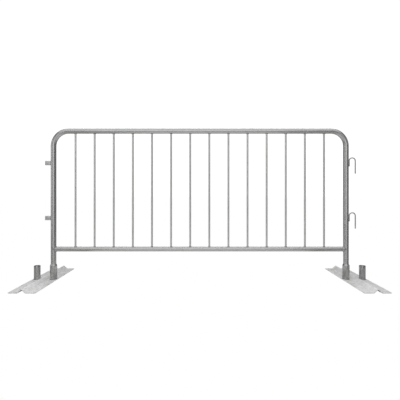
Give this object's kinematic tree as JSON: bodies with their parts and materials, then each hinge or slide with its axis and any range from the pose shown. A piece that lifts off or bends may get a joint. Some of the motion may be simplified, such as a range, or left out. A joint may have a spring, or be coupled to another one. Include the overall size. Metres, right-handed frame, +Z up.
{
  "type": "crowd control barrier",
  "caption": "Galvanised steel crowd control barrier: a bent tube hoop with vertical bars, link hooks and eyes, standing on loose flat feet with stub posts.",
  "frame": {"origin": "centre of the barrier's footprint, on the ground", "axes": "+X along the barrier towards the leg with the hooks, +Y along the feet away from the side that faces the viewer, +Z up"},
  "size_m": [2.426, 0.7, 1.1],
  "materials": {
    "galvanised_tube": "hot-dip galvanised tube, soft satin with faint spangle",
    "galvanised_rod": "hot-dip galvanised rod, satin",
    "galvanised_link": "hot-dip galvanised, matt with rubbed edges",
    "galvanised_plate": "hot-dip galvanised sheet with spangle and scuffs",
    "galvanised_stub": "hot-dip galvanised tube, rubbed and dull",
    "galvanised_weld": "rippled weld bead under zinc"
  },
  "bodies": {
    "panel": {"hoop_tube": "galvanised_tube", "lower_rail": "galvanised_tube", "bar_01": "galvanised_rod", "bar_02": "galvanised_rod", "bar_03": "galvanised_rod", "bar_04": "galvanised_rod", "bar_05": "galvanised_rod", "bar_06": "galvanised_rod", "bar_07": "galvanised_rod", "bar_08": "galvanised_rod", "bar_09": "galvanised_rod", "bar_10": "galvanised_rod", "bar_11": "galvanised_rod", "bar_12": "galvanised_rod", "bar_13": "galvanised_rod", "bar_14": "galvanised_rod", "hook_upper": "galvanised_link", "hook_lower": "galvanised_link", "eye_upper": "galvanised_link", "eye_lower": "galvanised_link", "rail_welds": "galvanised_weld", "bar_welds_top": "galvanised_weld", "bar_welds_bottom": "galvanised_weld", "hook_welds": "galvanised_weld", "eye_welds": "galvanised_weld"},
    "left_foot": {"left_foot_plate": "galvanised_plate", "left_inner_stub": "galvanised_stub", "left_outer_stub": "galvanised_stub", "left_stub_welds": "galvanised_weld"},
    "right_foot": {"right_foot_plate": "galvanised_plate", "right_inner_stub": "galvanised_stub", "right_outer_stub": "galvanised_stub", "right_stub_welds": "galvanised_weld"}
  },
  "joints": [
    {"name": "left_foot_swivel", "type": "hinge", "parent": "panel", "child": "left_foot", "pos_m": [-1.065, 0, 0.05], "axis": [0, 0, 1], "continuous": true},
    {"name": "right_foot_swivel", "type": "hinge", "parent": "panel", "child": "right_foot", "pos_m": [1.065, 0, 0.05], "axis": [0, 0, 1], "continuous": true}
  ]
}
